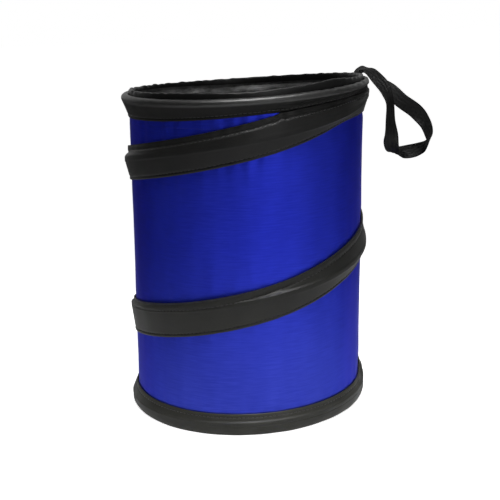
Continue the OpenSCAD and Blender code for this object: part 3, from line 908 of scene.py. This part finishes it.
makeWire("baseRingWire", -1.18, -0.2, "base", False)
makeWire("springWireCoil", -0.2, 2.0, "base", True)
makeWire("rimRingWire", 2.0, 3.14, "rim", False)
makeShell()
print("shell made")
makeInnerLining()
print("lining made")
makeCoilTape()
makeBaseTape()
makeRimTape()
makeHem()
print("tapes made")
makeStrap()

for nodeName, material in (("base_panel", panelMaterial), ("base_lining", liningMaterial),
                           ("lower_ferrule", steelMaterial), ("upper_ferrule", steelMaterial)):
    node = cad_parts[nodeName]
    node.data.materials.clear()
    node.data.materials.append(material)

# Floor, seen as white, with the bin's soft shadow kept
floor = {"size": 8.0, "white": 0.9, "seen": 0.88}


def makeFloor():
    # a square whose material glows a little, but only as the camera sees it
    half = floor["size"] / 2
    mesh = bpy.data.meshes.new("floor")
    mesh.from_pydata([(-half, -half, 0), (half, -half, 0), (half, half, 0), (-half, half, 0)],
                     [], [(0, 1, 2, 3)])
    piece = bpy.data.objects.new("floor", mesh)
    bpy.context.scene.collection.objects.link(piece)
    material, tree = newMaterial("paleTable")
    rays = addNode(tree, "ShaderNodeLightPath")
    diffuse = addNode(tree, "ShaderNodeBsdfDiffuse", Color=(floor["white"],) * 3 + (1,))
    glow = addNode(tree, "ShaderNodeEmission", Strength=floor["seen"])
    both = addNode(tree, "ShaderNodeAddShader",
                   links={0: diffuse.outputs[0], 1: glow.outputs[0]})
    seen = addNode(tree, "ShaderNodeMixShader", links={
        0: rays.outputs["Is Camera Ray"], 1: diffuse.outputs[0], 2: both.outputs[0]})
    addNode(tree, "ShaderNodeOutputMaterial", links={"Surface": seen.outputs[0]})
    mesh.materials.append(material)


makeFloor()
print("floor made")

# Light: white to the camera, a dim room with a bright wall behind the bin, a broad
# soft box in front on the right, a narrow one overhead, a little in front of the bin,
# and a weak one at the strap's side
room = {"dim": 0.05, "wall": 0.6}
world = bpy.data.worlds.new("studio")
world.use_nodes = True
bpy.context.scene.world = world
worldTree = world.node_tree
worldTree.nodes.clear()
rays = addNode(worldTree, "ShaderNodeLightPath")
spot = addNode(worldTree, "ShaderNodeTexCoord")
parts = addNode(worldTree, "ShaderNodeSeparateXYZ", links={0: spot.outputs["Generated"]})
behind = addNode(worldTree, "ShaderNodeMapRange", {"interpolation_type": "SMOOTHSTEP"},
                 {"Value": parts.outputs["Y"]}, From_Min=0.25, From_Max=0.8,
                 To_Min=room["dim"], To_Max=room["wall"])
white = (1, 1, 1, 1)
surround = addNode(worldTree, "ShaderNodeBackground", links={"Strength": behind.outputs[0]},
                   Color=white)
seen = addNode(worldTree, "ShaderNodeBackground", Strength=1.0, Color=white)
direct = addNode(worldTree, "ShaderNodeMath", {"operation": "MAXIMUM"}, {
    0: rays.outputs["Is Camera Ray"], 1: rays.outputs["Is Transmission Ray"]})
chosen = addNode(worldTree, "ShaderNodeMixShader", links={
    0: direct.outputs[0], 1: surround.outputs[0], 2: seen.outputs[0]})
addNode(worldTree, "ShaderNodeOutputWorld", links={"Surface": chosen.outputs[0]})

lights = {
    "front": {"place": (0.49, -1.24, 0.36), "aim": (0.0, 0.0, 0.12), "size": (0.50, 0.32),
              "spread": 180, "power": 3.4},
    "top": {"place": (0.06, -0.27, 0.85), "aim": (0.05, -0.22, 0.0), "size": (0.34, 0.34),
            "spread": 75, "power": 2.2},
    "side": {"place": (1.10, -0.45, 0.45), "aim": (0.0, 0.0, 0.12), "size": (0.6, 0.8),
             "spread": 180, "power": 0.8},
}
for name, light in lights.items():
    data = bpy.data.lights.new(name, "AREA")
    data.shape = "RECTANGLE"
    data.size, data.size_y = light["size"]
    data.spread = math.radians(light["spread"])
    data.energy = light["power"]
    lamp = bpy.data.objects.new(name, data)
    bpy.context.scene.collection.objects.link(lamp)
    place = Vector(light["place"])
    aim = Vector(light["aim"]) - place
    turn = aim.to_track_quat("-Z", "Y").to_matrix().to_4x4()
    lamp.matrix_world = Matrix.Translation(place) @ turn
print("lamps made")

bpy.context.scene.view_settings.view_transform = "Standard"
